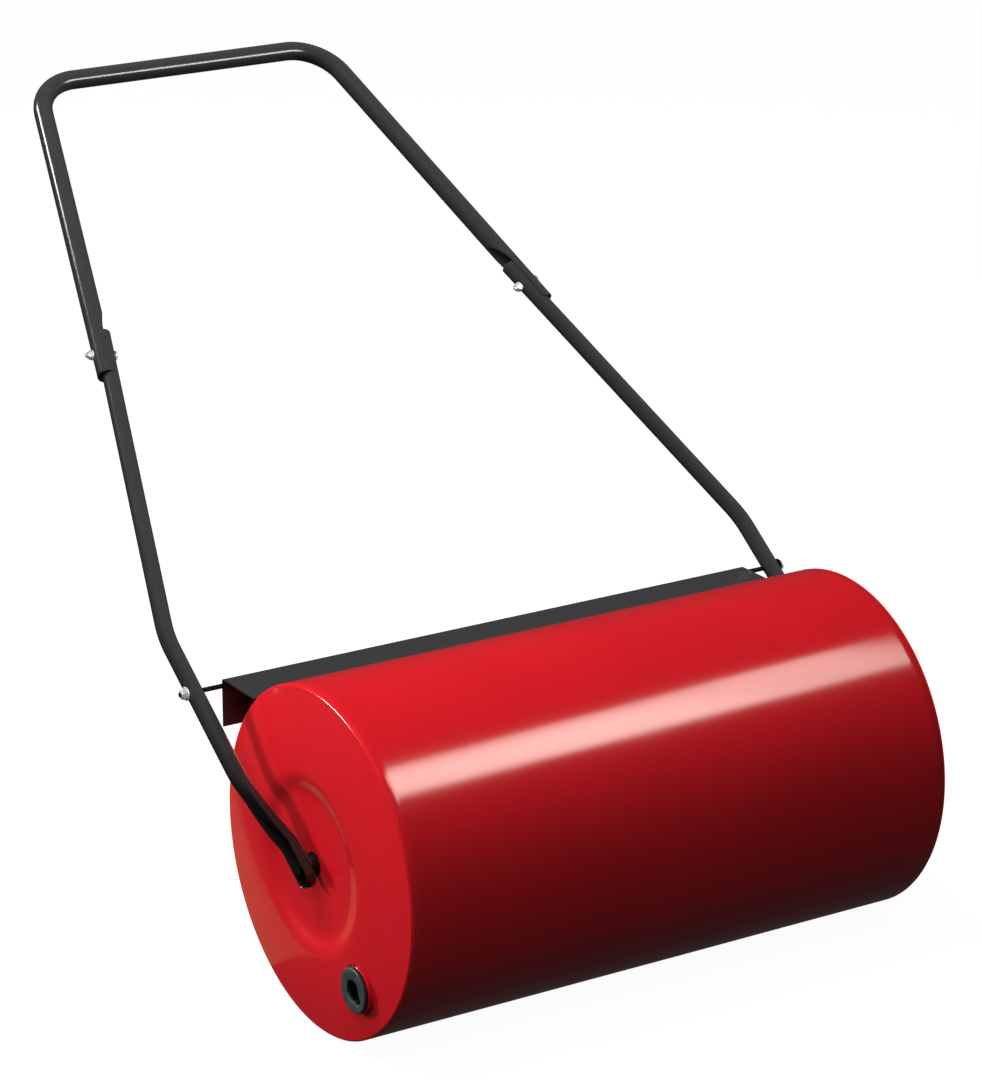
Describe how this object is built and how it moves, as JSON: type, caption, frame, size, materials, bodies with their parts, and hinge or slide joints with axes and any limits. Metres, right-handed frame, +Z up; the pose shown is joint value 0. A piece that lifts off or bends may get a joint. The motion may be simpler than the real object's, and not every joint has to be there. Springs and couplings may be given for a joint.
{
  "type": "lawn roller",
  "caption": "Push lawn roller: a water-filled steel drum on a bent tubular push handle, with a folded scraper bar behind the drum and a rubber filler plug in one end.",
  "frame": {"origin": "on the ground, at the middle of the base of the box around the whole roller", "axes": "+X along the drum's axis, away from the filler plug; +Y from the drum towards the person who pushes it; +Z up"},
  "size_m": [0.6634, 0.9254, 0.7027],
  "materials": {
    "red_paint": "glossy red enamel",
    "black_paint": "satin black powder coat",
    "zinc_plate": "bright zinc plate",
    "blackened_steel": "black oxide",
    "rubber": "moulded grey-black rubber",
    "nylon": "black nylon"
  },
  "bodies": {
    "handle": {"upper_handle": "black_paint", "left_lower_arm": "black_paint", "right_lower_arm": "black_paint", "joint_bolts": "blackened_steel", "joint_washers": "zinc_plate", "joint_nuts": "zinc_plate", "left_arm_bush": "nylon", "right_arm_bush": "nylon", "scraper_rod": "blackened_steel", "rod_washers": "blackened_steel", "rod_nuts": "zinc_plate"},
    "drum": {"drum_shell": "red_paint", "left_end_cap": "red_paint", "right_end_cap": "red_paint", "filler_neck": "red_paint", "left_hub_boss": "blackened_steel", "right_hub_boss": "blackened_steel", "axle_bolts": "blackened_steel", "axle_washers": "blackened_steel"},
    "plug": {"filler_plug": "rubber"},
    "scraper": {"scraper_blade": "black_paint", "scraper_sleeves": "black_paint"}
  },
  "joints": [
    {"name": "drum_spin", "type": "hinge", "parent": "handle", "child": "drum", "pos_m": [0, -0.30268, 0.16], "axis": [1, 0, 0], "continuous": true},
    {"name": "scraper_lift", "type": "hinge", "parent": "handle", "child": "scraper", "pos_m": [0, -0.14088, 0.27413], "axis": [-1, 0, 0], "range_deg": [0, 30]},
    {"name": "plug_pull", "type": "slide", "parent": "drum", "child": "plug", "axis": [-1, 0, 0], "range_m": [0, 0.03]}
  ]
}
